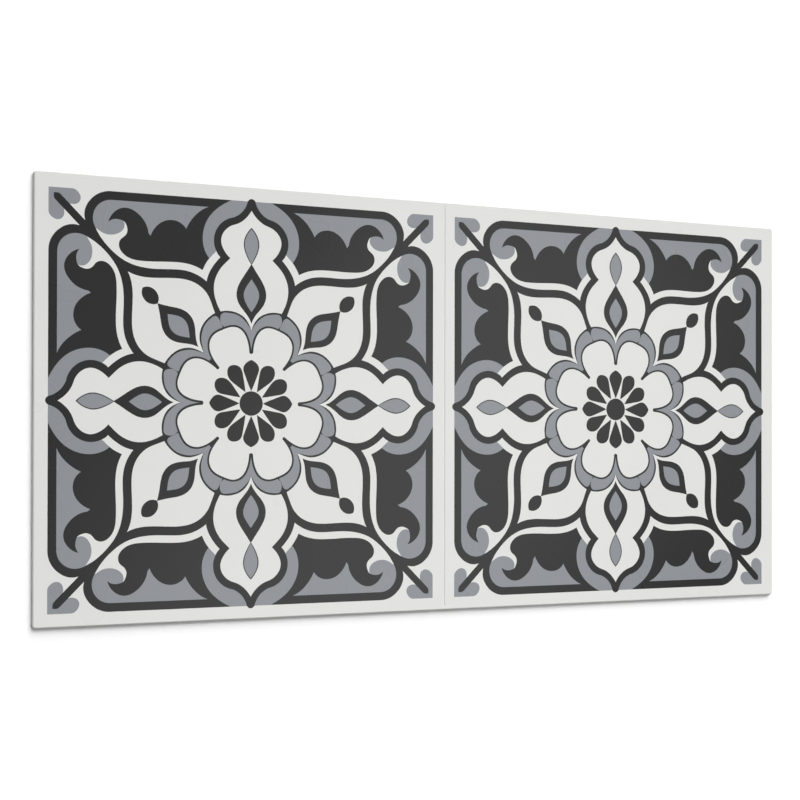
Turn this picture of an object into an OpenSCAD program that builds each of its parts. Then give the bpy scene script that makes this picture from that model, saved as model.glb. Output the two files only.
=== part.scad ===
// Self-adhesive wall panel, pressed from one sheet of PVC and lying face up.
// The origin is the middle of the flat back that carries the adhesive.
// +X runs along the length, +Y across the width and +Z out of the printed face.

/* [Sheet] */
// Length of the panel along X
panel_l = 600; // [200:1:1200]
// Width of the panel along Y
panel_w = 300; // [100:1:600]
// Thickness of the sheet from its back to its face
sheet_t = 3; // [2:0.1:6]

/* [Edges] */
// Radius of the four corners, seen from above
corner_r = 2.2; // [2:0.1:20]
// Radius that rolls the face down into the sides
rim_r = 1; // [0.3:0.1:1.9]

/* [Grooves] */
// Number of square tiles that the grooves mark off along the length
tiles = 2; // [2:1:6]
// Width of a groove where it opens in the face
groove_w = 2; // [1:0.1:6]
// Depth of a groove below the face
groove_d = 0.4; // [0.2:0.05:0.9]
// Face left unbroken between each end of a groove and the side of the panel
groove_stop = 2.5; // [2:0.1:20]
// Length over which each end of a groove rises from its full depth to the face
groove_rise = 2; // [0.5:0.1:20]

/* [Hidden] */
// Sides of a full circle
$fn = 96;
// How far a cutter reaches past the surface that it opens
cut_over = 1;
// Straight stretch of each side, between the corner curves
side_l = panel_l - 2 * corner_r;
side_w = panel_w - 2 * corner_r;
// Distance from one groove to the next
tile_pitch = panel_l / tiles;
// Length of a groove at the face
groove_l = panel_w - 2 * groove_stop;
// Radius of the two rolled shoulders that meet at the bottom of a groove
groove_half = groove_w / 2;
shoulder_r = (groove_half * groove_half + groove_d * groove_d) / (2 * groove_d);

// Section through an edge, from the centre of the corner curve out to the side
module edge_section() {
    square([corner_r, sheet_t - rim_r]);
    square([corner_r - rim_r, sheet_t]);
    translate([corner_r - rim_r, sheet_t - rim_r])
        intersection() {
            circle(r = rim_r);
            square(rim_r);
        }
}

// The two sides that run along X
module long_sides() {
    for (turn = [0, 180])
        rotate(turn)
            translate([0, side_w / 2, 0])
                rotate([90, 0, 90])
                    linear_extrude(height = side_l, center = true)
                        edge_section();
}

// The two sides that run along Y
module short_sides() {
    for (turn = [0, 180])
        rotate(turn)
            translate([side_l / 2, 0, 0])
                rotate([90, 0, 0])
                    linear_extrude(height = side_w, center = true)
                        edge_section();
}

// The edge section turned round each of the four corners
module corners() {
    for (x = [-side_l / 2, side_l / 2], y = [-side_w / 2, side_w / 2])
        translate([x, y, 0])
            rotate_extrude()
                edge_section();
}

// The sheet before pressing, with its face rolled down all round
module sheet() {
    translate([-side_l / 2, -side_w / 2, 0])
        cube([side_l, side_w, sheet_t]);
    long_sides();
    short_sides();
    corners();
}

// Section across a groove: the gap between two rolled shoulders, with its
// mouth at the height of the face
module groove_section() {
    difference() {
        translate([-groove_half, -shoulder_r])
            square([groove_w, shoulder_r + cut_over]);
        for (side = [-1, 1])
            translate([side * groove_half, -shoulder_r])
                circle(r = shoulder_r);
    }
}

// Side view of a groove: flat floor, with both ends rising to the face
module groove_profile() {
    polygon([
        [-groove_l / 2, cut_over],
        [-groove_l / 2, 0],
        [-groove_l / 2 + groove_rise, -groove_d],
        [groove_l / 2 - groove_rise, -groove_d],
        [groove_l / 2, 0],
        [groove_l / 2, cut_over]
    ]);
}

// One groove along Y, centred on the origin at the height of the face
module groove() {
    intersection() {
        rotate([90, 0, 0])
            linear_extrude(height = groove_l + 2 * cut_over, center = true)
                groove_section();
        rotate([90, 0, 90])
            linear_extrude(height = groove_w + 2 * cut_over, center = true)
                groove_profile();
    }
}

// The whole panel: the sheet, pressed with a groove between each two tiles
module panel() {
    color("#E2E2DF")
        difference() {
            sheet();
            for (i = [1 : tiles - 1])
                translate([i * tile_pitch - panel_l / 2, 0, sheet_t])
                    groove();
        }
}

panel();
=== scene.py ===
"""Self-adhesive wall panel: a pressed PVC sheet printed with two tiles of traditional ornament.

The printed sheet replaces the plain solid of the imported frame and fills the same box. Its
ornament is drawn as smooth outlines for one eighth of a tile, in mm, and mirrored round each
tile, so every edge of ink is an edge of the mesh. Blender's own units are metres.
"""
from math import asin, atan2, ceil, cos, hypot, pi, radians, sin, sqrt

import bpy
from mathutils import Matrix, Vector
from mathutils.geometry import delaunay_2d_cdt


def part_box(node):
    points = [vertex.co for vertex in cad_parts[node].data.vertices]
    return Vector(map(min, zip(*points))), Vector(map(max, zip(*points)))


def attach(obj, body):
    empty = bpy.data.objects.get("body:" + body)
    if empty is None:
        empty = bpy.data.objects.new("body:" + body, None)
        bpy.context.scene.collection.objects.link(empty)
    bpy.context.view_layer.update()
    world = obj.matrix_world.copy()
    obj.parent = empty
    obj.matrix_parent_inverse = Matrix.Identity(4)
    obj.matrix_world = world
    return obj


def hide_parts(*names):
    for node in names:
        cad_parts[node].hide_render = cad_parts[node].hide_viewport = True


bl_info = {
    "name": "Printed wall panel",
    "version": (1, 0, 0),
    "blender": (4, 5, 0),
    "location": "View3D > Sidebar > Wall Panel",
    "description": "Builds a pressed PVC wall panel printed with two tiles, and a plain studio",
    "category": "Add Mesh",
}

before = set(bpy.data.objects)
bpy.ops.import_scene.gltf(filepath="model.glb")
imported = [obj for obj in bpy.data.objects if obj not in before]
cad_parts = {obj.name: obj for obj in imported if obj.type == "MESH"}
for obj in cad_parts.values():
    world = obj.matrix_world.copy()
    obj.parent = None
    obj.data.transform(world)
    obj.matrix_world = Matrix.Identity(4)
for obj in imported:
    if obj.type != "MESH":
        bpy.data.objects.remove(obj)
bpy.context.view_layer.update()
sheet_low, sheet_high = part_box("panel")

MM = 0.001
UP, DOWN = (0.0, 0.0, 1.0), (0.0, 0.0, -1.0)

# The sheet's finishes, in the order of the piece's material slots
WHITE, GREY, CHARCOAL, GROOVE, RIM, CUT, LINER = range(7)


def linear(code):
    """Turn an sRGB hex colour into the linear one that shaders take."""
    channels = [int(code[i:i + 2], 16) / 255 for i in (1, 3, 5)]
    return [c / 12.92 if c <= 0.04045 else ((c + 0.055) / 1.055) ** 2.4 for c in channels] + [1.0]


# Smooth outlines

FLATNESS = 0.02         # mm that a drawn outline may stray from its curve
SAME_POINT = 1e-6       # mm within which two points are one
INK_SPREAD = 0.12       # mm that a darker ink spreads over a lighter one along their edge
LONGEST_TIP = 1.5       # the most that a pointed end moves, in widths of that spread
NEARLY_STRAIGHT = 0.02  # sine of the turn below which two sides count as one line


def turn_between(a, b):
    """Signed turn from heading a to heading b, from -pi to pi."""
    return (b - a + pi) % (2 * pi) - pi


def headings(points, leave, arrive):
    """Headings out of and into the points of a smooth curve, so that its bend varies evenly.

    Each row says what the turns off the chord are multiplied by, at the point before, at this
    point and at the next, and what they then add up to.
    """
    n = len(points) - 1
    steps = [(b[0] - a[0], b[1] - a[1]) for a, b in zip(points, points[1:])]
    chord = [hypot(*step) for step in steps]
    head = [atan2(y, x) for x, y in steps]
    bend = [0.0] + [turn_between(a, b) for a, b in zip(head, head[1:])] + [0.0]
    if leave is None:
        rows = [[0.0, 1.0, 1.0, -bend[1]]]
    else:
        rows = [[0.0, 1.0, 0.0, turn_between(head[0], radians(leave))]]
    for i in range(1, n):
        a, b = 1 / chord[i - 1], 1 / chord[i]
        rows.append([a, 2 * (a + b), b, -2 * bend[i] * a - bend[i + 1] * b])
    if arrive is None:
        rows.append([1.0, 1.0, 0.0, 0.0])
    else:
        rows.append([0.0, 1.0, 0.0, turn_between(head[-1], radians(arrive))])
    for before, row in zip(rows, rows[1:]):
        share = row[0] / before[1]
        row[1] -= share * before[2]
        row[3] -= share * before[3]
    turn = [0.0] * (n + 2)
    for i in range(n, -1, -1):
        turn[i] = (rows[i][3] - rows[i][2] * turn[i + 1]) / rows[i][1]
    out = [head[i] + turn[i] for i in range(n)]
    into = [head[i] + bend[i + 1] + turn[i + 1] for i in range(n)]
    return chord, head, out, into


def handle(a, b):
    """Length of a cubic's handle as a share of its chord, for the turns at its two ends.

    The numbers are those of the usual formula for round, even curves.
    """
    lean = sqrt(2) * (sin(a) - sin(b) / 16) * (sin(b) - sin(a) / 16) * (cos(a) - cos(b))
    return (2 + lean) / (3 * (1 + (sqrt(5) - 1) / 2 * cos(a) + (3 - sqrt(5)) / 2 * cos(b)))


def curve(*points, leave=None, arrive=None):
    """Points along a smooth curve through the given ones.

    leave and arrive fix the headings at its two ends, in degrees.
    """
    if len(points) == 2 and leave is None and arrive is None:
        return list(points)
    chord, head, out, into = headings(points, leave, arrive)
    line = [points[0]]
    for i, length in enumerate(chord):
        a, b = turn_between(head[i], out[i]), turn_between(into[i], head[i])
        start, end = Vector(points[i]), Vector(points[i + 1])
        first = start + handle(a, b) * length * Vector((cos(out[i]), sin(out[i])))
        second = end - handle(b, a) * length * Vector((cos(into[i]), sin(into[i])))
        # A stretch strays from its chord by about an eighth of its length times its turn
        count = max(1, ceil(sqrt(length * (abs(a) + abs(b)) / (8 * FLATNESS))))
        for k in range(1, count + 1):
            t = k / count
            s = 1 - t
            line.append(tuple(
                s ** 3 * start + 3 * s * s * t * first + 3 * s * t * t * second + t ** 3 * end))
    return line


def outline(*stretches, on_white=()):
    """One closed outline from stretches that meet end to end, as a list of its sides.

    A side is its start, its end, and whether it is in one of the stretches, by their numbers
    from 0, where a grey outline lies on white.
    """
    sides = []
    for number, stretch in enumerate(stretches):
        ends = zip(stretch, stretch[1:])
        sides += [(Vector(a), Vector(b), number in on_white) for a, b in ends]
    sides.append((sides[-1][1], sides[0][0], False))
    return [side for side in sides if (side[1] - side[0]).length > SAME_POINT]


def spread_out(sides, ink):
    """Points of an outline once its ink has spread.

    Charcoal grows over the inks beside it, and those give way to it. Sides on the two lines
    that the ornament is mirrored in stay.
    """
    turning = 1 if sum(a.cross(b) for a, b, _ in sides) > 0 else -1
    moved = []
    for a, b, on_white in sides:
        along = (b - a).normalized()
        level = abs(a.y) + abs(b.y) < SAME_POINT
        diagonal = abs(a.x - a.y) + abs(b.x - b.y) < SAME_POINT
        if level or diagonal:
            reach = 0.0
        else:
            reach = INK_SPREAD if ink == CHARCOAL or on_white else -INK_SPREAD
        moved.append((Vector((along.y, -along.x)) * turning, reach))
    longest = LONGEST_TIP * INK_SPREAD
    points = []
    for (start, _, _), (n0, reach0), (n1, reach1) in zip(sides, moved[-1:] + moved[:-1], moved):
        slant = n0.cross(n1)
        if abs(slant) < NEARLY_STRAIGHT:
            step = (n0 * reach0 + n1 * reach1) / 2
        else:
            step = Vector((n1.y * reach0 - n0.y * reach1, n0.x * reach1 - n1.x * reach0)) / slant
        if step.length > longest:
            step *= longest / step.length
        points.append(tuple(start + step))
    return points


# The ornament, for one eighth of a tile: x from the tile's middle out to its side, y from that
# line up to the diagonal. Lengths are mm of a tile that repeats every 300 mm. Each outline is
# painted over the ones before it.

def corner_sprig():
    """The grey sprig in a corner of the tile."""
    return outline(
        curve((141, 141), (141, 125.3)),
        curve((141, 125.3), (138.9, 121.5), (135.8, 120), (132.4, 121), (130.8, 124.5),
              (131.3, 127.9), leave=-90),
        curve((131.3, 127.9), (135, 135)),
        on_white=(0, 1, 2))


def frame_band():
    """The charcoal frame and all inside it, with the tip of a lobe standing out of its middle."""
    return outline(
        curve((0, 0), (142.8, 0)),
        curve((142.8, 0), (142.2, 1.7), (141, 2.7), leave=90),
        curve((141, 2.7), (141, 99.5)),
        curve((141, 99.5), (139.3, 107), (134, 113.6), (127, 117), (120.8, 116.7), leave=90),
        curve((120.8, 116.7), (119, 119)))


def corner_bar():
    """The charcoal bar from the frame out into the sprig."""
    return outline(
        curve((110, 110), (120.8, 117.3)),
        curve((120.8, 117.3), (136, 132.5)),
        curve((136, 132.5), (137.4, 134.4), (137.5, 137.5), leave=45, arrive=90))


def lobe():
    """The white, waisted lobe towards the middle of a side."""
    return outline(
        curve((50, 0), (135, 0)),
        curve((135, 0), (131.2, 2.6), (127.8, 6), (125.2, 10.2)),
        curve((125.2, 10.2), (123.7, 14.3), (119.6, 19.7), (113, 22.3), (106.4, 20.4),
              (100.7, 15.7), leave=113),
        curve((100.7, 15.7), (97.9, 18.5), (95, 21.3), (88, 25.7), (79.5, 27.5), (71.1, 26.1),
              (63.3, 22.5)))


def lobe_ring():
    """The grey ring round the outer end of a lobe."""
    return outline(
        curve((141, 2.7), (141, 15)),
        curve((141, 15), (136, 23.6), (129.6, 30.2), (122, 34.2), (114, 35.6), (106.5, 34.5),
              (99.8, 30.8)),
        curve((99.8, 30.8), (102.4, 28.4), (105.3, 25.6)),
        curve((105.3, 25.6), (113, 27.3), (120.7, 25.1), (126.2, 20.1), (129.1, 13.2)),
        curve((129.1, 13.2), (131.4, 9), (135.4, 5.2), (141, 2.7), leave=-68),
        on_white=(0, 2))


def curl_band():
    """The white band that runs along a leaf and ends in a curl inside the corner."""
    return outline(
        curve((83.5, 32.5), (88, 39.7), (90.3, 47.3), (90.8, 54), (90.4, 68), (91.3, 79),
              (94.9, 90), (100.7, 98.2), (108.1, 105.2), (116, 110)),
        curve((116, 110), (128, 95)),
        curve((128, 95), (110, 40)),
        curve((110, 40), (105.3, 25.6)),
        curve((105.3, 25.6), (103.2, 24.5), (101, 22.5)),
        curve((101, 22.5), (95.5, 27.2), (90, 30.5), (83.5, 32.5)))


def corner_ground():
    """The grey ground inside the frame, which ends in a scroll."""
    return outline(
        curve((135.4, 31), (135.4, 98.5)),
        curve((135.4, 98.5), (134.1, 104.6), (129.7, 109.6), (123, 111.7), (116, 110), leave=90),
        curve((116, 110), (114.5, 107.5), (113, 104.9), (112.1, 98.5), (114, 93.2), (119, 90.2),
              (121.8, 91.1)),
        curve((121.8, 91.1), (118, 80)),
        curve((118, 80), (110, 72)),
        curve((110, 72), (115, 40)),
        curve((115, 40), (135.4, 31)),
        on_white=(2,))


def cloud():
    """The charcoal cloud between a lobe and a corner, with the hook that closes the scroll."""
    return outline(
        curve((135.2, 31.2), (132.5, 36.4), (127.3, 42), (118.9, 47.2)),
        curve((118.9, 47.2), (122.8, 51.2), (124.4, 57), (123, 63.4), (119, 68.5), (112.6, 72.2)),
        curve((112.6, 72.2), (114.6, 73.8)),
        curve((114.6, 73.8), (121.5, 76), (127.3, 81.1), (130.6, 89.5), (128.2, 96), (120.7, 101)),
        curve((120.7, 101), (122.7, 97), (122.3, 92.2), (121.5, 90.4), (119.1, 88.8), (115.7, 88),
              (111.3, 90.1), (109.7, 92.1), (105.5, 93.8), (100.2, 91.4), (96.6, 85.5),
              (95.6, 79), (95.7, 66), (96, 54), (94.9, 44), (91.6, 35.5)),
        curve((91.6, 35.5), (95.6, 33.6), (99.8, 30.8)),
        curve((99.8, 30.8), (106, 30)),
        curve((106, 30), (130, 25)),
        curve((130, 25), (135.2, 31.2)))


def lobe_far_lens():
    """The lens in the outer half of a lobe, of which a thin charcoal line stays."""
    return outline(
        curve((97, 0), (122.7, 0)),
        curve((122.7, 0), (117.5, 3.9), (111.3, 5.6), (104, 3.9), (97, 0)))


def lobe_far_lens_fill():
    """The grey of that lens."""
    return outline(
        curve((97.4, 0), (122, 0)),
        curve((122, 0), (117.3, 3.5), (111.3, 5.1), (104.2, 3.5), (97.4, 0)))


def lobe_drop():
    """The charcoal drop in the inner half of a lobe."""
    return outline(
        curve((56, 0), (97.3, 0)),
        curve((97.3, 0), (90, 4.7), (83, 9), (76, 10.8), (69.6, 9.2), (63.1, 4.2), (60, 1.9),
              (56, 0)))


def lobe_drop_fill():
    """The grey inside that drop."""
    return outline(
        curve((63.7, 0), (87, 0)),
        curve((87, 0), (83.4, 2.6), (75.8, 5.8), (70.2, 4.3), (63.7, 0)))


def leaf():
    """The white leaf towards a corner."""
    return outline(
        curve((88, 88), (85.6, 81.5), (84.5, 70.5), (85, 55), (83.8, 44.5), (79.8, 36.4),
              (72.3, 30.3), (68.3, 28.7), (62.2, 26.4)),
        curve((62.2, 26.4), (45, 30)),
        curve((45, 30), (30, 30)))


def leaf_drop():
    """The charcoal drop in a leaf."""
    return outline(
        curve((38.5, 38.5), (43.6, 40.1), (51.5, 40.9), (59.3, 43.9), (63.8, 50.6), (65.3, 58.5),
              (67.1, 67.1)))


def leaf_drop_fill():
    """The grey inside that drop."""
    return outline(
        curve((44.4, 44.4), (48.7, 44.9), (55, 46.8), (58.4, 50.5), (59.8, 55.6), (60.3, 60.3)))


def leaf_bud():
    """The charcoal bud at the tip of a leaf's drop."""
    return outline(curve((67.2, 67.2), (70.8, 66.5), (75.8, 68.9), (78.1, 74), (77.4, 77.4)))


def scallop():
    """The two arches behind the rosette in charcoal, which stays as a line round their grey."""
    return outline(
        curve((30, 30), (34.4, 34.4)),
        curve((34.4, 34.4), (37.6, 35.7), (42.3, 37.2), (48.7, 37.1), (54.8, 34.5), (60.2, 29.3),
              (62.2, 26.2)),
        curve((62.2, 26.2), (63.3, 22.5)),
        curve((63.3, 22.5), (64, 17.3), (62.7, 10.2), (60.4, 6), (55.7, 2.1), (49.9, 0)),
        curve((49.9, 0), (30, 0)))


def upper_arch():
    """The grey arch behind the rosette that meets the diagonal."""
    return outline(
        curve((30, 30), (34.4, 34.4)),
        curve((34.4, 34.4), (37.8, 35.3), (42.4, 36.3), (48.4, 35.9), (54.2, 33.6), (59.2, 28.7),
              (60.3, 26), (57.2, 23), (52.8, 20.8)),
        curve((52.8, 20.8), (30, 29)))


def lower_arch():
    """The grey arch behind the rosette that meets the tile's middle line."""
    return outline(
        curve((53.1, 20.4), (55.9, 22.5), (59.2, 22.8), (62.2, 21.4), (62.9, 17.4), (61.8, 10.7),
              (59.5, 6.7), (55.8, 3), (52.8, 1), (49.9, 0)),
        curve((49.9, 0), (37, 0)),
        curve((37, 0), (53.1, 20.4)))


def rosette_line():
    """The rosette in charcoal, of which a line stays round the white one."""
    return outline(
        curve((0, 0), (36.4, 0)),
        curve((36.4, 0), (40.5, 0.6), (46.6, 2.4), (52.3, 6.7), (54.3, 13.7), (52.4, 20.5),
              (48.4, 27.9), (42.8, 31.3), (35.6, 31.1), (29.6, 28.5), (27, 27)))


def rosette():
    """The white rosette, whose outline turns round the ends of the lines between its lobes."""
    return outline(
        curve((0, 0), (34.8, 0)),
        curve((34.8, 0), (35, 0.8), (35.6, 1.3), leave=90),
        curve((35.6, 1.3), (40.2, 1.8), (46.2, 3.6), (51.4, 7.5), (53.2, 13.6), (51.3, 20.1),
              (47.5, 27.1), (42.5, 30.2), (35.9, 30.1), (30.2, 27.5), (25, 23.6)),
        curve((25, 23.6), (24.3, 23.4), (23.8, 23.8), arrive=135))


def straight_petal():
    """The charcoal petal along the tile's middle line."""
    return outline(
        curve((8.8, 0), (30.4, 0)),
        curve((30.4, 0), (28.4, 3.4), (24.3, 5.7), (21.2, 5), (13.9, 2.2), (8.8, 0)))


def slanted_petal():
    """The charcoal petal beside it."""
    return outline(
        curve((8, 4.3), (13, 5), (20, 6.2), (24.2, 7.6), (26.1, 10.1), (26.5, 13.2), (25.7, 15.6),
              (22, 17.4), (17.1, 16), (13.5, 12.1), (8, 4.3)))


def centre_disc():
    """The charcoal disc in the middle of the rosette."""
    radius, steps = 8.4, 9
    turns = [radians(45) * i / steps for i in range(steps + 1)]
    return outline([(0, 0)] + [(radius * cos(turn), radius * sin(turn)) for turn in turns])


ORNAMENT = [
    (GREY, corner_sprig), (CHARCOAL, frame_band), (CHARCOAL, corner_bar),
    (WHITE, lobe), (WHITE, curl_band), (GREY, corner_ground), (CHARCOAL, cloud), (GREY, lobe_ring),
    (CHARCOAL, lobe_far_lens), (GREY, lobe_far_lens_fill),
    (CHARCOAL, lobe_drop), (GREY, lobe_drop_fill),
    (WHITE, leaf), (CHARCOAL, leaf_drop), (GREY, leaf_drop_fill), (CHARCOAL, leaf_bud),
    (CHARCOAL, scallop), (GREY, upper_arch), (GREY, lower_arch),
    (CHARCOAL, rosette_line), (WHITE, rosette),
    (CHARCOAL, straight_petal), (CHARCOAL, slanted_petal), (CHARCOAL, centre_disc),
]
DRAWN_REPEAT = 300   # mm between tiles as the ornament is drawn
FIELD_HALF = 145.5   # mm from a tile's middle, as drawn, to the side of its printed square
WELD_DIGITS = 4      # decimals of a mm to which points are matched
FILL_HULL = 0        # has the triangulation fill all that its points span
MERGE_WITHIN = 1e-5  # mm within which it takes points as one


def sides_of(loop):
    """The sides of a closed loop that aren't level, each from its lower end to its upper one."""
    ends = zip(loop, loop[1:] + loop[:1])
    return [(a, b) if a[1] < b[1] else (b, a) for a, b in ends if a[1] != b[1]]


def holds(sides, x, y):
    """Whether a loop goes round a point: a line to its right then crosses an odd number."""
    crossed = 0
    for (x0, y0), (x1, y1) in sides:
        if y0 <= y < y1 and x < x0 + (x1 - x0) * (y - y0) / (y1 - y0):
            crossed += 1
    return crossed % 2 == 1


def triangles_of(loops):
    """Fill overlapping loops, the first of them round all, with triangles.

    Each triangle comes with its points and with the numbers of the loops that it lies in.
    """
    points, edges = [], []
    for loop in loops:
        first, count = len(points), len(loop)
        points += loop
        edges += [(first + i, first + (i + 1) % count) for i in range(count)]
    found, _, triangles, origins, _, _ = delaunay_2d_cdt(
        [Vector(p) for p in points], edges, [], FILL_HULL, MERGE_WITHIN, True)
    places = [points[came[0]] if came else tuple(place) for place, came in zip(found, origins)]
    sides = [sides_of(loop) for loop in loops]
    filled = []
    for triangle in triangles:
        corners = [places[i] for i in triangle]
        x, y = (sum(corner[axis] for corner in corners) / 3 for axis in (0, 1))
        filled.append((corners, [i for i, loop in enumerate(sides) if holds(loop, x, y)]))
    return filled


def printed_eighth(scale):
    """Triangles of one eighth of a tile in mm, each with the ink that was painted last."""
    def inside(x, y):
        """A point brought back onto the mirror line that it has passed."""
        x, y = x * scale, max(y * scale, 0.0)
        return (x, y) if y <= x else ((x + y) / 2, (x + y) / 2)

    half = FIELD_HALF * scale
    loops = [[(0, 0), (half, 0), (half, half)]]
    loops += [[inside(*p) for p in spread_out(draw(), ink)] for ink, draw in ORNAMENT]
    inks = [WHITE] + [ink for ink, _ in ORNAMENT]
    return [(points, inks[max(owners, default=0)]) for points, owners in triangles_of(loops)]


# The sheet

CORNER_STEPS = 10  # stretches round each of the four corners
RIM_STEPS = 9      # stretches over the rim, from the face down to the side
SHOULDER_STEPS, FLOOR_STEPS = 6, 3  # stretches of each half of the groove's section

# Corners of a square and the middles of its sides, counterclockwise
SQUARE = [(-1, -1), (0, -1), (1, -1), (1, 0), (1, 1), (0, 1), (-1, 1), (-1, 0)]


class Skin:
    """Faces of the sheet in mm, welded where their corners meet.

    A corner is its place, the normal that the surface has there, and where it goes on the flat
    plan that the finishes are baked on.
    """

    def __init__(self):
        self.places, self.found, self.faces = [], {}, []

    def point(self, place):
        key = tuple(round(value, WELD_DIGITS) for value in place)
        if key not in self.found:
            self.found[key] = len(self.places)
            self.places.append(place)
        return self.found[key]

    def add(self, corners, finish):
        kept = []
        for place, normal, plan in corners:
            index = self.point(place)
            if index not in [k[0] for k in kept]:
                kept.append((index, normal, plan))
        if len(kept) > 2:
            self.faces.append((kept, finish))


def flat(points, height, normal=UP):
    """Corners of a level face."""
    return [((x, y, height), normal, (x, y)) for x, y in points]


def print_tiles(skin, height, middles, scale):
    """Mirror the printed eighth round the middle of each tile."""
    eighth = printed_eighth(scale)
    for middle_x, middle_y in middles:
        for turn in range(8):
            across, along = (1, -1)[turn & 1], (1, -1)[turn >> 1 & 1]
            swapped = turn >> 2
            for points, ink in eighth:
                placed = [(across * x, along * y) for x, y in points]
                if swapped:
                    placed = [(y, x) for x, y in placed]
                if (across * along < 0) != bool(swapped):
                    placed.reverse()
                skin.add(flat([(middle_x + x, middle_y + y) for x, y in placed], height), ink)


def groove_section(half, depth, floor):
    """Half of a groove's section, from its mouth to the middle of its floor.

    A rolled shoulder runs smoothly into the rounded floor. Each point is x, its drop below the
    face, and the slope there.
    """
    both = (half * half + depth * depth) / (2 * depth)  # shoulder and floor radius together
    shoulder, steepest = both - floor, asin(half / both)
    points = []
    for i in range(SHOULDER_STEPS + 1):
        a = steepest * i / SHOULDER_STEPS
        points.append((-half + shoulder * sin(a), shoulder - shoulder * cos(a), a))
    for i in range(1, FLOOR_STEPS + 1):
        a = steepest * (1 - i / FLOOR_STEPS)
        points.append((-floor * sin(a), depth - floor + floor * cos(a), a))
    return points


def press_groove(skin, height, section, depth, end, rise):
    """Press a groove along Y through x = 0. Returns the outline of its mouth, counterclockwise."""
    columns = [(x, drop, (sin(a), 0.0, cos(a))) for x, drop, a in section]
    columns += [(-x, drop, (-n[0], 0.0, n[2])) for x, drop, n in reversed(columns[:-1])]
    slant = hypot(depth, rise)
    for (x0, drop0, n0), (x1, drop1, n1) in zip(columns, columns[1:]):
        z0, z1 = height - drop0, height - drop1
        stop0, stop1 = end - rise * drop0 / depth, end - rise * drop1 / depth
        strip = [((x0, -stop0, z0), n0), ((x1, -stop1, z1), n1),
                 ((x1, stop1, z1), n1), ((x0, stop0, z0), n0)]
        skin.add([(place, normal, place[:2]) for place, normal in strip], GROOVE)
        for way in (1, -1):
            up = (0.0, -way * depth / slant, rise / slant)
            run_out = [(x0, way * stop0, z0), (x1, way * stop1, z1),
                       (x1, way * end, height), (x0, way * end, height)][::way]
            skin.add([(place, up, place[:2]) for place in run_out], GROOVE)
    across = [x for x, _, _ in columns]
    return [(x, -end) for x in across] + [(x, end) for x in reversed(across)]


def rounded_rectangle(half_l, half_w, radius):
    """Points of a rectangle with round corners, counterclockwise, each with its way outwards."""
    points = []
    for corner, (sx, sy) in enumerate([(1, 1), (-1, 1), (-1, -1), (1, -1)]):
        for i in range(CORNER_STEPS + 1):
            a = pi / 2 * (corner + i / CORNER_STEPS)
            out = (cos(a), sin(a))
            points.append(((sx * (half_l - radius) + radius * out[0],
                            sy * (half_w - radius) + radius * out[1]), out))
    return points


def roll_rim(skin, height, half_l, half_w, corner, rim):
    """Round the face over into the cut sides and close the back. Returns the face's outline."""
    rings = []
    for i in range(RIM_STEPS + 1):
        a = pi / 2 * i / RIM_STEPS
        inset = rim * (1 - sin(a))
        rings.append((inset, height - rim * (1 - cos(a)), a, rim * a))
    rings.append((0.0, 0.0, pi / 2, rim * pi / 2 + height - rim))
    drawn = []
    for inset, z, a, along in rings:
        ring = []
        for (x, y), out in rounded_rectangle(half_l - inset, half_w - inset, corner - inset):
            flat_x, flat_y = x - (rim - inset) * out[0], y - (rim - inset) * out[1]
            ring.append(((x, y, z), (out[0] * sin(a), out[1] * sin(a), cos(a)),
                         (flat_x + along * out[0], flat_y + along * out[1])))
        drawn.append(ring)
    for inner, outer in zip(drawn, drawn[1:]):
        finish = CUT if outer is drawn[-1] else RIM
        for i in range(len(inner)):
            j = (i + 1) % len(inner)
            skin.add([inner[i], outer[i], outer[j], inner[j]], finish)
    back = [(x, y) for (x, y, _), _, _ in reversed(drawn[-1])]
    skin.add(flat(back, 0.0, DOWN), LINER)
    return [(x, y) for (x, y, _), _, _ in drawn[0]]


# Where each finish lies on the map that its colours are baked on: left, bottom and width, with
# the plan of the sheet drawn whole in each, so that no ink ever bleeds into another. The groove,
# the rim and the cut edge don't overlap, so they share one plan.
MAP_NAME = "OFBake"
EDGES_PLACE = (0.01, 0.747, 0.46)
MAP_PLACES = {
    WHITE: (0.01, 0.01, 0.96), GREY: (0.01, 0.505, 0.46), CHARCOAL: (0.51, 0.505, 0.46),
    GROOVE: EDGES_PLACE, RIM: EDGES_PLACE, CUT: EDGES_PLACE, LINER: (0.51, 0.747, 0.46),
}
PLAN_SPARE = 3  # mm round the plan for the unrolled rim


def mesh_from(skin, name, half_l, half_w):
    """Make the mesh in metres, with its finishes, its baking map and its true normals."""
    mesh = bpy.data.meshes.new(name)
    mesh.from_pydata([[value * MM for value in place] for place in skin.places], [],
                     [[corner[0] for corner in corners] for corners, _ in skin.faces])
    layer = mesh.uv_layers.new(name=MAP_NAME)
    normals = []
    full = 2 * (half_l + PLAN_SPARE)
    for polygon, (corners, finish) in zip(mesh.polygons, skin.faces):
        polygon.material_index = finish
        polygon.use_smooth = True
        left, bottom, width = MAP_PLACES[finish]
        for loop, (_, normal, (x, y)) in zip(polygon.loop_indices, corners):
            layer.data[loop].uv = (left + width * (x + half_l + PLAN_SPARE) / full,
                                   bottom + width * (y + half_w + PLAN_SPARE) / full)
            normals.append(normal)
    mesh.normals_split_custom_set(normals)
    return mesh


def add_object(scene, name, data):
    """Put a new object in the scene."""
    made = bpy.data.objects.new(name, data)
    scene.collection.objects.link(made)
    return made


# Materials

# Sockets of the Mix node: its share, the two numbers or the two colours, and what it gives
SHARE, NUMBER_A, NUMBER_B, COLOUR_A, COLOUR_B = 0, 2, 3, 6, 7
MIXED_NUMBER, MIXED_COLOUR = 0, 2
NOISE_LOW, NOISE_HIGH = 0.3, 0.7     # levels between which most of a noise lies

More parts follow.
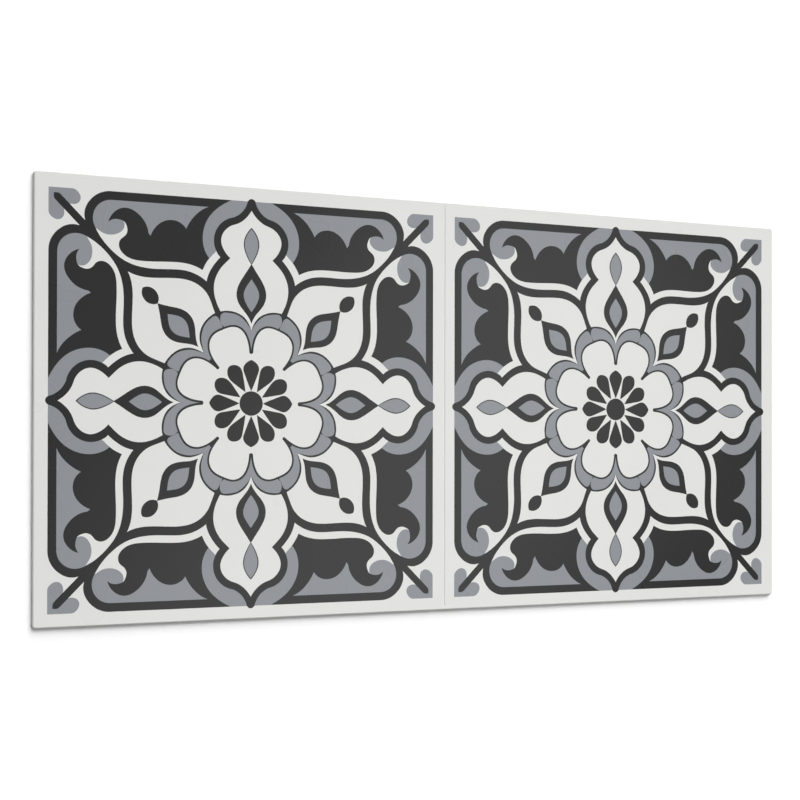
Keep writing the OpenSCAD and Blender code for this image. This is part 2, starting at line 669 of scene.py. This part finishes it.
# Widths of the patterns' marks, in mm
CLOUD_WIDTH, PEEL_WIDTH = 55, 1.6    # satin PVC: faint clouds and orange peel
DRAG_WIDTH, CUT_CLOUDS = 0.6, 12     # cut edge: drag marks and clouds
FIBRE_WIDTH, LINER_CLOUDS = 2.5, 40  # release paper: fibres and clouds

UPRIGHT = (1.0, 1.0, 0.1)            # draws the drag marks out 10 times from back to face
RELIEF = 0.02                        # mm that drag marks and fibres stand up
GLOSS_DRIFT = 0.02                   # how far the satin's roughness drifts either way
SHEET_IOR, PAPER_IOR = 1.47, 1.5     # the lacquered PVC, matched to its sheen, and the liner


def add_node(tree, kind, inputs=None, **settings):
    """Add a node with its settings; inputs maps each socket to a value or to an output to link."""
    node = tree.nodes.new(kind)
    for name, value in settings.items():
        setattr(node, name, value)
    for socket, value in (inputs or {}).items():
        if isinstance(value, bpy.types.NodeSocket):
            tree.links.new(value, node.inputs[socket])
        else:
            node.inputs[socket].default_value = value
    return node


def new_material(name):
    """An empty node material, with its tree, its output and the place of each of its points."""
    material = bpy.data.materials.new(name)
    material.use_nodes = True
    tree = material.node_tree
    tree.nodes.clear()
    output = add_node(tree, "ShaderNodeOutputMaterial")
    return material, tree, output, add_node(tree, "ShaderNodeTexCoord").outputs["Object"]


def per_metre(mm):
    """Scale of a noise whose marks are this many mm wide."""
    return 1 / (mm * MM)


def two_tones(tree, shade, colour, first, second, share, low):
    """A colour that drifts between two close tones, as two patterns do that are mixed by share.

    It is plain shade where the mixture is at low, and plain colour where it is at 1 - low.
    """
    mixed = add_node(tree, "ShaderNodeMix", {
        SHARE: share, NUMBER_A: first.outputs["Fac"], NUMBER_B: second.outputs["Fac"]})
    tone = add_node(tree, "ShaderNodeMapRange", {
        "Value": mixed.outputs[MIXED_NUMBER], "From Min": low, "From Max": 1 - low})
    base = add_node(tree, "ShaderNodeMix", {
        SHARE: tone.outputs["Result"], COLOUR_A: shade, COLOUR_B: colour}, data_type="RGBA")
    return base.outputs[MIXED_COLOUR]


def satin_pvc(name, colour, shade, mottle, roughness, peel):
    """Rigid PVC film, calendered and lacquered satin.

    It gives an even tone with a soft, slightly clouded sheen. mottle is the width of its finest
    clouds and peel the height of its orange peel, in mm. That peel is 0.5 mm wide in the real
    sheet and is drawn 1.6 mm wide, or the render would lose it.
    """
    material, tree, output, place = new_material(name)
    clouds = add_node(tree, "ShaderNodeTexNoise", {
        "Vector": place, "Scale": per_metre(CLOUD_WIDTH), "Detail": 3.0, "Roughness": 0.5})
    speckle = add_node(tree, "ShaderNodeTexNoise", {
        "Vector": place, "Scale": per_metre(mottle), "Detail": 2.0, "Roughness": 0.6})
    gloss = add_node(tree, "ShaderNodeMapRange", {
        "Value": clouds.outputs["Fac"], "From Min": NOISE_LOW, "From Max": NOISE_HIGH,
        "To Min": roughness - GLOSS_DRIFT, "To Max": roughness + GLOSS_DRIFT})
    grain = add_node(tree, "ShaderNodeTexNoise", {
        "Vector": place, "Scale": per_metre(PEEL_WIDTH), "Detail": 1.0, "Roughness": 0.5})
    bump = add_node(tree, "ShaderNodeBump", {
        "Strength": 1.0, "Distance": peel * MM, "Height": grain.outputs["Fac"]})
    shader = add_node(tree, "ShaderNodeBsdfPrincipled", {
        "Base Color": two_tones(tree, shade, colour, clouds, speckle, share=0.35, low=NOISE_LOW),
        "Roughness": gloss.outputs["Result"], "IOR": SHEET_IOR, "Normal": bump.outputs["Normal"]})
    tree.links.new(shader.outputs["BSDF"], output.inputs["Surface"])
    return material


def cut_pvc(name, colour, shade):
    """PVC cut through by a steel rule die.

    It gives a matt, darker line round the sheet, with the die's fine upright drag marks, which
    are 0.1 mm apart in the real sheet and are drawn 0.6 mm apart, or the render would lose them.
    """
    material, tree, output, place = new_material(name)
    drawn = add_node(tree, "ShaderNodeMapping", {"Vector": place, "Scale": UPRIGHT})
    marks = add_node(tree, "ShaderNodeTexNoise", {
        "Vector": drawn.outputs["Vector"], "Scale": per_metre(DRAG_WIDTH),
        "Detail": 2.0, "Roughness": 0.6})
    clouds = add_node(tree, "ShaderNodeTexNoise", {
        "Vector": place, "Scale": per_metre(CUT_CLOUDS), "Detail": 2.0, "Roughness": 0.5})
    bump = add_node(tree, "ShaderNodeBump", {
        "Strength": 1.0, "Distance": RELIEF * MM, "Height": marks.outputs["Fac"]})
    shader = add_node(tree, "ShaderNodeBsdfPrincipled", {
        "Base Color": two_tones(tree, shade, colour, marks, clouds, share=0.5, low=0.35),
        "Roughness": 0.6, "IOR": SHEET_IOR, "Normal": bump.outputs["Normal"]})
    tree.links.new(shader.outputs["BSDF"], output.inputs["Surface"])
    return material


def release_liner(name, colour, shade):
    """Coated release paper on the adhesive. It gives a pale, matt back with fibre in it."""
    material, tree, output, place = new_material(name)
    fibre = add_node(tree, "ShaderNodeTexNoise", {
        "Vector": place, "Scale": per_metre(FIBRE_WIDTH),
        "Detail": 4.0, "Roughness": 0.7, "Distortion": 1.5})
    clouds = add_node(tree, "ShaderNodeTexNoise", {
        "Vector": place, "Scale": per_metre(LINER_CLOUDS), "Detail": 3.0, "Roughness": 0.55})
    gloss = add_node(tree, "ShaderNodeMapRange", {
        "Value": clouds.outputs["Fac"], "From Min": NOISE_LOW, "From Max": NOISE_HIGH,
        "To Min": 0.5, "To Max": 0.62})
    bump = add_node(tree, "ShaderNodeBump", {
        "Strength": 1.0, "Distance": RELIEF * MM, "Height": fibre.outputs["Fac"]})
    shader = add_node(tree, "ShaderNodeBsdfPrincipled", {
        "Base Color": two_tones(tree, shade, colour, fibre, clouds, share=0.5, low=0.35),
        "Roughness": gloss.outputs["Result"], "IOR": PAPER_IOR, "Normal": bump.outputs["Normal"]})
    tree.links.new(shader.outputs["BSDF"], output.inputs["Surface"])
    return material


# The studio

FLOOR_REACH = 15.0                # metres from the floor's middle to its sides
FLOOR_DROP = 0.1 * MM             # how far it lies below the sheet, so that they share no plane
LIFT_NEAR, LIFT_FAR = 0.02, 0.25  # share of white added to the floor by the panel, and far off
NEAR, FAR = 0.3, 1.0              # metres from the panel's middle where those two hold
WALL_TOP, WALL_END = 0.2, 0.45    # sines of the heights between which the mirrored wall fades
SENSOR_WIDTH = 36                 # mm, for which the lens is given
PAINT = "#FFFFFF"                 # the floor and the room


def seen_rays(tree):
    """An output that is 1 for what is seen, straight or in gloss or glass, and 0 for lighting."""
    rays = add_node(tree, "ShaderNodeLightPath").outputs
    seen = rays["Is Camera Ray"]
    for other in ("Is Glossy Ray", "Is Transmission Ray"):
        either = add_node(tree, "ShaderNodeMath", {0: seen, 1: rays[other]}, operation="MAXIMUM")
        seen = either.outputs[0]
    return seen


def studio_floor(name):
    """White painted floor.

    It is seen with a little lift, and with more away from the panel, where the lamps fall off,
    so that it stays white to the horizon and keeps the panel's shadow.
    """
    material, tree, output, place = new_material(name)
    paint = add_node(tree, "ShaderNodeBsdfDiffuse", {"Color": linear(PAINT)})
    away = add_node(tree, "ShaderNodeVectorMath", {0: place}, operation="LENGTH")
    amount = add_node(tree, "ShaderNodeMapRange", {
        "Value": away.outputs["Value"], "From Min": NEAR, "From Max": FAR,
        "To Min": LIFT_NEAR, "To Max": LIFT_FAR})
    lift = add_node(tree, "ShaderNodeMath", {
        0: seen_rays(tree), 1: amount.outputs["Result"]}, operation="MULTIPLY")
    glow = add_node(tree, "ShaderNodeEmission", {
        "Color": linear(PAINT), "Strength": lift.outputs[0]})
    both = add_node(tree, "ShaderNodeAddShader", {0: paint.outputs[0], 1: glow.outputs[0]})
    tree.links.new(both.outputs[0], output.inputs["Surface"])
    return material


def studio_room(name, dim):
    """The room: white all round to the camera, and dim where it only lights the panel.

    Gloss sees it as a white wall that fades into the dim ceiling.
    """
    world = bpy.data.worlds.new(name)
    world.use_nodes = True
    tree = world.node_tree
    tree.nodes.clear()
    way = add_node(tree, "ShaderNodeTexCoord").outputs["Generated"]
    split = add_node(tree, "ShaderNodeSeparateXYZ", {0: way})
    wall = add_node(tree, "ShaderNodeMapRange", {
        "Value": split.outputs["Z"], "From Min": WALL_TOP, "From Max": WALL_END,
        "To Min": 1.0, "To Max": 0.0})
    mirrored = add_node(tree, "ShaderNodeMath", {
        0: wall.outputs["Result"], 1: seen_rays(tree)}, operation="MULTIPLY")
    straight = add_node(tree, "ShaderNodeLightPath").outputs["Is Camera Ray"]
    shown = add_node(tree, "ShaderNodeMath", {
        0: mirrored.outputs[0], 1: straight}, operation="MAXIMUM")
    level = add_node(tree, "ShaderNodeMapRange", {
        "Value": shown.outputs[0], "To Min": dim, "To Max": 1.0})
    sky = add_node(tree, "ShaderNodeBackground", {
        "Color": linear(PAINT), "Strength": level.outputs["Result"]})
    add_node(tree, "ShaderNodeOutputWorld", {"Surface": sky.outputs[0]})
    return world


def looking(place, aim, roll):
    """Placement of a camera or lamp that looks from place to aim, with +Y up, turned by roll."""
    back = (Vector(place) - Vector(aim)).normalized()
    right = Vector((0, 1, 0)).cross(back).normalized()
    turned = Matrix((right, back.cross(right), back)).transposed() @ Matrix.Rotation(roll, 3, "Z")
    return Matrix.LocRotScale(Vector(place), turned, None)


# Settings

def size_setting(name, description, mm):
    return bpy.props.FloatProperty(
        name=name, description=description, default=mm * MM, min=0.0, unit="LENGTH", precision=4)


def ink_setting(name, description, code):
    return bpy.props.FloatVectorProperty(
        name=name, description=description, default=linear(code), size=4, min=0.0, max=1.0,
        subtype="COLOR")


def place_setting(name, description, metres):
    return bpy.props.FloatVectorProperty(
        name=name, description=description, default=metres, subtype="XYZ", unit="LENGTH")


def angle_setting(name, description, degrees):
    return bpy.props.FloatProperty(
        name=name, description=description, default=radians(degrees), subtype="ANGLE")


class PanelShape(bpy.types.PropertyGroup):
    corner_radius: size_setting("Corner radius", "Radius of the four corners from above", 2.2)
    rim_radius: size_setting("Rim radius", "Radius that rounds the face over into the sides", 1.0)
    groove_width: size_setting("Groove width", "Width of the groove at the face", 2.0)
    groove_depth: size_setting("Groove depth", "Depth of the groove below the face", 0.4)
    groove_floor: size_setting("Groove floor radius", "Radius at the bottom of the groove", 0.2)
    groove_stop: size_setting("Groove stop", "Unbroken face between the groove and a side", 2.5)
    groove_rise: size_setting("Groove rise", "Length over which its ends rise to the face", 2.0)
    print_repeat: size_setting("Print repeat", "From one printed tile to the next", 298.5)
    print_offset: bpy.props.FloatVectorProperty(
        name="Print offset", description="How far the print is off the middle of the sheet",
        default=(-0.6 * MM, -0.42 * MM), size=2, unit="LENGTH", precision=4)


class PanelInks(bpy.types.PropertyGroup):
    white: ink_setting("White", "Unprinted face", "#E0E0DD")
    white_shade: ink_setting("White, shaded", "Darkest tone in the unprinted face", "#DDDDDB")
    grey: ink_setting("Grey", "Cool grey ink", "#8E9196")
    grey_shade: ink_setting("Grey, shaded", "Darkest tone in the grey ink", "#8B8E93")
    charcoal: ink_setting("Charcoal", "Charcoal ink", "#2C2C2C")
    charcoal_shade: ink_setting("Charcoal, shaded", "Darkest tone in the charcoal ink", "#2A2A2A")
    # The rim's greyer inks are painted shade along the face's rounded edge
    rim: ink_setting("Rim", "Sheet where its face is rounded over into the sides", "#CBCBC8")
    rim_shade: ink_setting("Rim, shaded", "Darkest tone in the rim", "#C7C7C4")
    cut: ink_setting("Cut edge", "Sheet where it is cut through", "#A9A9A6")
    cut_shade: ink_setting("Cut edge, shaded", "Darkest tone in the cut edge", "#969693")
    liner: ink_setting("Liner", "Release paper on the back", "#DAD8D0")
    liner_shade: ink_setting("Liner, shaded", "Darkest tone in the release paper", "#CFCDC4")


class StudioSetup(bpy.types.PropertyGroup):
    eye: place_setting("Camera", "Place of the camera", (-0.467291, -0.034248, 0.93835))
    aim: place_setting("Aim", "Point that the camera points at", (-0.066267, -0.027134, 0.003))
    roll: angle_setting("Roll", "Turn of the camera about its axis", 0.1104)
    lens: bpy.props.FloatProperty(
        name="Lens", description="Focal length", default=63.79, unit="CAMERA")
    shift: bpy.props.FloatVectorProperty(
        name="Shift", description="Offset of the picture from the camera's axis",
        default=(0.047923, 0.053168), size=2)
    key_height: angle_setting("Key height", "Height of the key light above the horizon", 35.5)
    key_bearing: angle_setting("Key bearing", "Bearing of the key light, from +X to +Y", 73)
    key_spread: angle_setting("Key spread", "Angle that the key light is spread over", 56)
    key_level: bpy.props.FloatProperty(
        name="Key level", description="Share of the light on the panel that the key gives",
        default=0.723)
    box_place: place_setting(
        "Softbox", "Middle of the softbox, which lays a band of sheen on it", (0.444, -0.111, 1.1))
    box_turn: angle_setting("Softbox turn", "Turn of the softbox about its own axis", -32.4)
    box_width: size_setting("Softbox width", "Short side of the softbox", 604)
    box_length: size_setting("Softbox length", "Long side of the softbox", 1200)
    box_level: bpy.props.FloatProperty(
        name="Softbox level", description="Brightness of the softbox, where 1 is white",
        default=1.11)
    sky_level: bpy.props.FloatProperty(
        name="Sky level", description="Brightness of the room overhead", default=0.17)


# Operators

class WALLPANEL_OT_printed_sheet(bpy.types.Operator):
    """Build the pressed and printed sheet in place of the plain solid"""
    bl_idname = "wallpanel.printed_sheet"
    bl_label = "Printed sheet"

    def execute(self, context):
        shape, inks = context.scene.panel_shape, context.scene.panel_inks
        if sheet_high.z <= sheet_low.z:
            raise RuntimeError("the packed panel has no thickness")
        half_l, half_w, height = sheet_high.x / MM, sheet_high.y / MM, sheet_high.z / MM
        corner, rim = shape.corner_radius / MM, shape.rim_radius / MM
        repeat = shape.print_repeat / MM
        off_x, off_y = (value / MM for value in shape.print_offset)
        middles = [(off_x - repeat / 2, off_y), (off_x + repeat / 2, off_y)]
        field = FIELD_HALF * repeat / DRAWN_REPEAT
        depth, rise = shape.groove_depth / MM, shape.groove_rise / MM
        end = half_w - shape.groove_stop / MM

        skin = Skin()
        print_tiles(skin, height, middles, repeat / DRAWN_REPEAT)
        section = groove_section(shape.groove_width / MM / 2, depth, shape.groove_floor / MM)
        mouth = press_groove(skin, height, section, depth, end, rise)
        loops = [roll_rim(skin, height, half_l, half_w, corner, rim), mouth]
        for middle_x, middle_y in middles:
            loops.append([(middle_x + field * x, middle_y + field * y) for x, y in SQUARE])
        for points, owners in triangles_of(loops):
            if owners == [0]:
                skin.add(flat(points, height), WHITE)

        mesh = mesh_from(skin, "printed_sheet", half_l, half_w)
        for name, colour, shade, mottle, roughness, peel in (
                ("satin_pvc_white", inks.white, inks.white_shade, 1.2, 0.29, 0.003),
                ("satin_pvc_grey_ink", inks.grey, inks.grey_shade, 0.9, 0.28, 0.003),
                ("satin_pvc_charcoal_ink", inks.charcoal, inks.charcoal_shade, 0.9, 0.28, 0.003),
                # The hot press leaves the groove and the rim duller in gloss and rougher than the
                # face. The rim's greyer inks are painted shade on the rounded edge.
                ("pressed_pvc_groove", inks.white, inks.white_shade, 0.8, 0.48, 0.006),
                ("pressed_pvc_rim_painted_shade", inks.rim, inks.rim_shade, 0.8, 0.48, 0.006)):
            mesh.materials.append(satin_pvc(name, colour, shade, mottle, roughness, peel))
        mesh.materials.append(cut_pvc("die_cut_pvc_edge", inks.cut, inks.cut_shade))
        mesh.materials.append(release_liner("release_liner_paper", inks.liner, inks.liner_shade))
        sheet = add_object(context.scene, "printed_sheet", mesh)
        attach(sheet, "root")
        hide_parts("panel")
        return {"FINISHED"}


class WALLPANEL_OT_studio(bpy.types.Operator):
    """Build the white floor, the lamps and the camera"""
    bl_idname = "wallpanel.studio"
    bl_label = "Studio"

    def execute(self, context):
        setup, scene = context.scene.studio_setup, context.scene
        mesh = bpy.data.meshes.new("studio_floor")
        ends = [(-1, -1), (1, -1), (1, 1), (-1, 1)]
        mesh.from_pydata([(FLOOR_REACH * x, FLOOR_REACH * y, 0) for x, y in ends], [],
                         [(0, 1, 2, 3)])
        mesh.materials.append(studio_floor("white_painted_floor"))
        floor = add_object(scene, "studio_floor", mesh)
        floor.location.z = -FLOOR_DROP

        key = bpy.data.lights.new("key", "SUN")
        key.angle = setup.key_spread
        key.energy = setup.key_level * pi / sin(setup.key_height)
        lamp = add_object(scene, "key", key)
        towards = Vector((cos(setup.key_bearing) * cos(setup.key_height),
                          sin(setup.key_bearing) * cos(setup.key_height), sin(setup.key_height)))
        lamp.rotation_euler = towards.to_track_quat("Z", "Y").to_euler()
        # As with a polarised lamp, or it would bleach the face when that is seen from low down
        lamp.visible_glossy = False

        box = bpy.data.lights.new("softbox", "AREA")
        box.shape, box.size, box.size_y = "RECTANGLE", setup.box_width, setup.box_length
        box.energy = setup.box_level * pi * box.size * box.size_y
        lamp = add_object(scene, "softbox", box)
        lamp.matrix_world = looking(setup.box_place, (0, 0, 0), setup.box_turn)

        scene.world = studio_room("studio", setup.sky_level)
        scene.view_settings.view_transform = "Standard"

        data = bpy.data.cameras.new("camera")
        data.sensor_width = SENSOR_WIDTH
        data.lens = setup.lens
        data.shift_x, data.shift_y = setup.shift
        scene.camera = add_object(scene, "camera", data)
        scene.camera.matrix_world = looking(setup.eye, setup.aim, setup.roll)
        return {"FINISHED"}


class WALLPANEL_PT_build(bpy.types.Panel):
    """Lists the pieces of the wall panel"""
    bl_idname = "WALLPANEL_PT_build"
    bl_label = "Wall Panel"
    bl_space_type = "VIEW_3D"
    bl_region_type = "UI"
    bl_category = "Wall Panel"

    def draw(self, context):
        layout = self.layout
        for title, group, operator in (
                ("Sheet", context.scene.panel_shape, None),
                ("Inks", context.scene.panel_inks, WALLPANEL_OT_printed_sheet),
                ("Studio", context.scene.studio_setup, WALLPANEL_OT_studio)):
            box = layout.box()
            box.label(text=title)
            for name in group.__annotations__:
                box.prop(group, name)
            if operator:
                box.operator(operator.bl_idname)


CLASSES = (PanelShape, PanelInks, StudioSetup,
           WALLPANEL_OT_printed_sheet, WALLPANEL_OT_studio, WALLPANEL_PT_build)


def register():
    for cls in CLASSES:
        bpy.utils.register_class(cls)
    bpy.types.Scene.panel_shape = bpy.props.PointerProperty(type=PanelShape)
    bpy.types.Scene.panel_inks = bpy.props.PointerProperty(type=PanelInks)
    bpy.types.Scene.studio_setup = bpy.props.PointerProperty(type=StudioSetup)


def unregister():
    del bpy.types.Scene.studio_setup
    del bpy.types.Scene.panel_inks
    del bpy.types.Scene.panel_shape
    for cls in reversed(CLASSES):
        bpy.utils.unregister_class(cls)


def main():
    register()
    bpy.ops.wallpanel.studio()
    bpy.ops.wallpanel.printed_sheet()


if __name__ == "__main__":
    main()
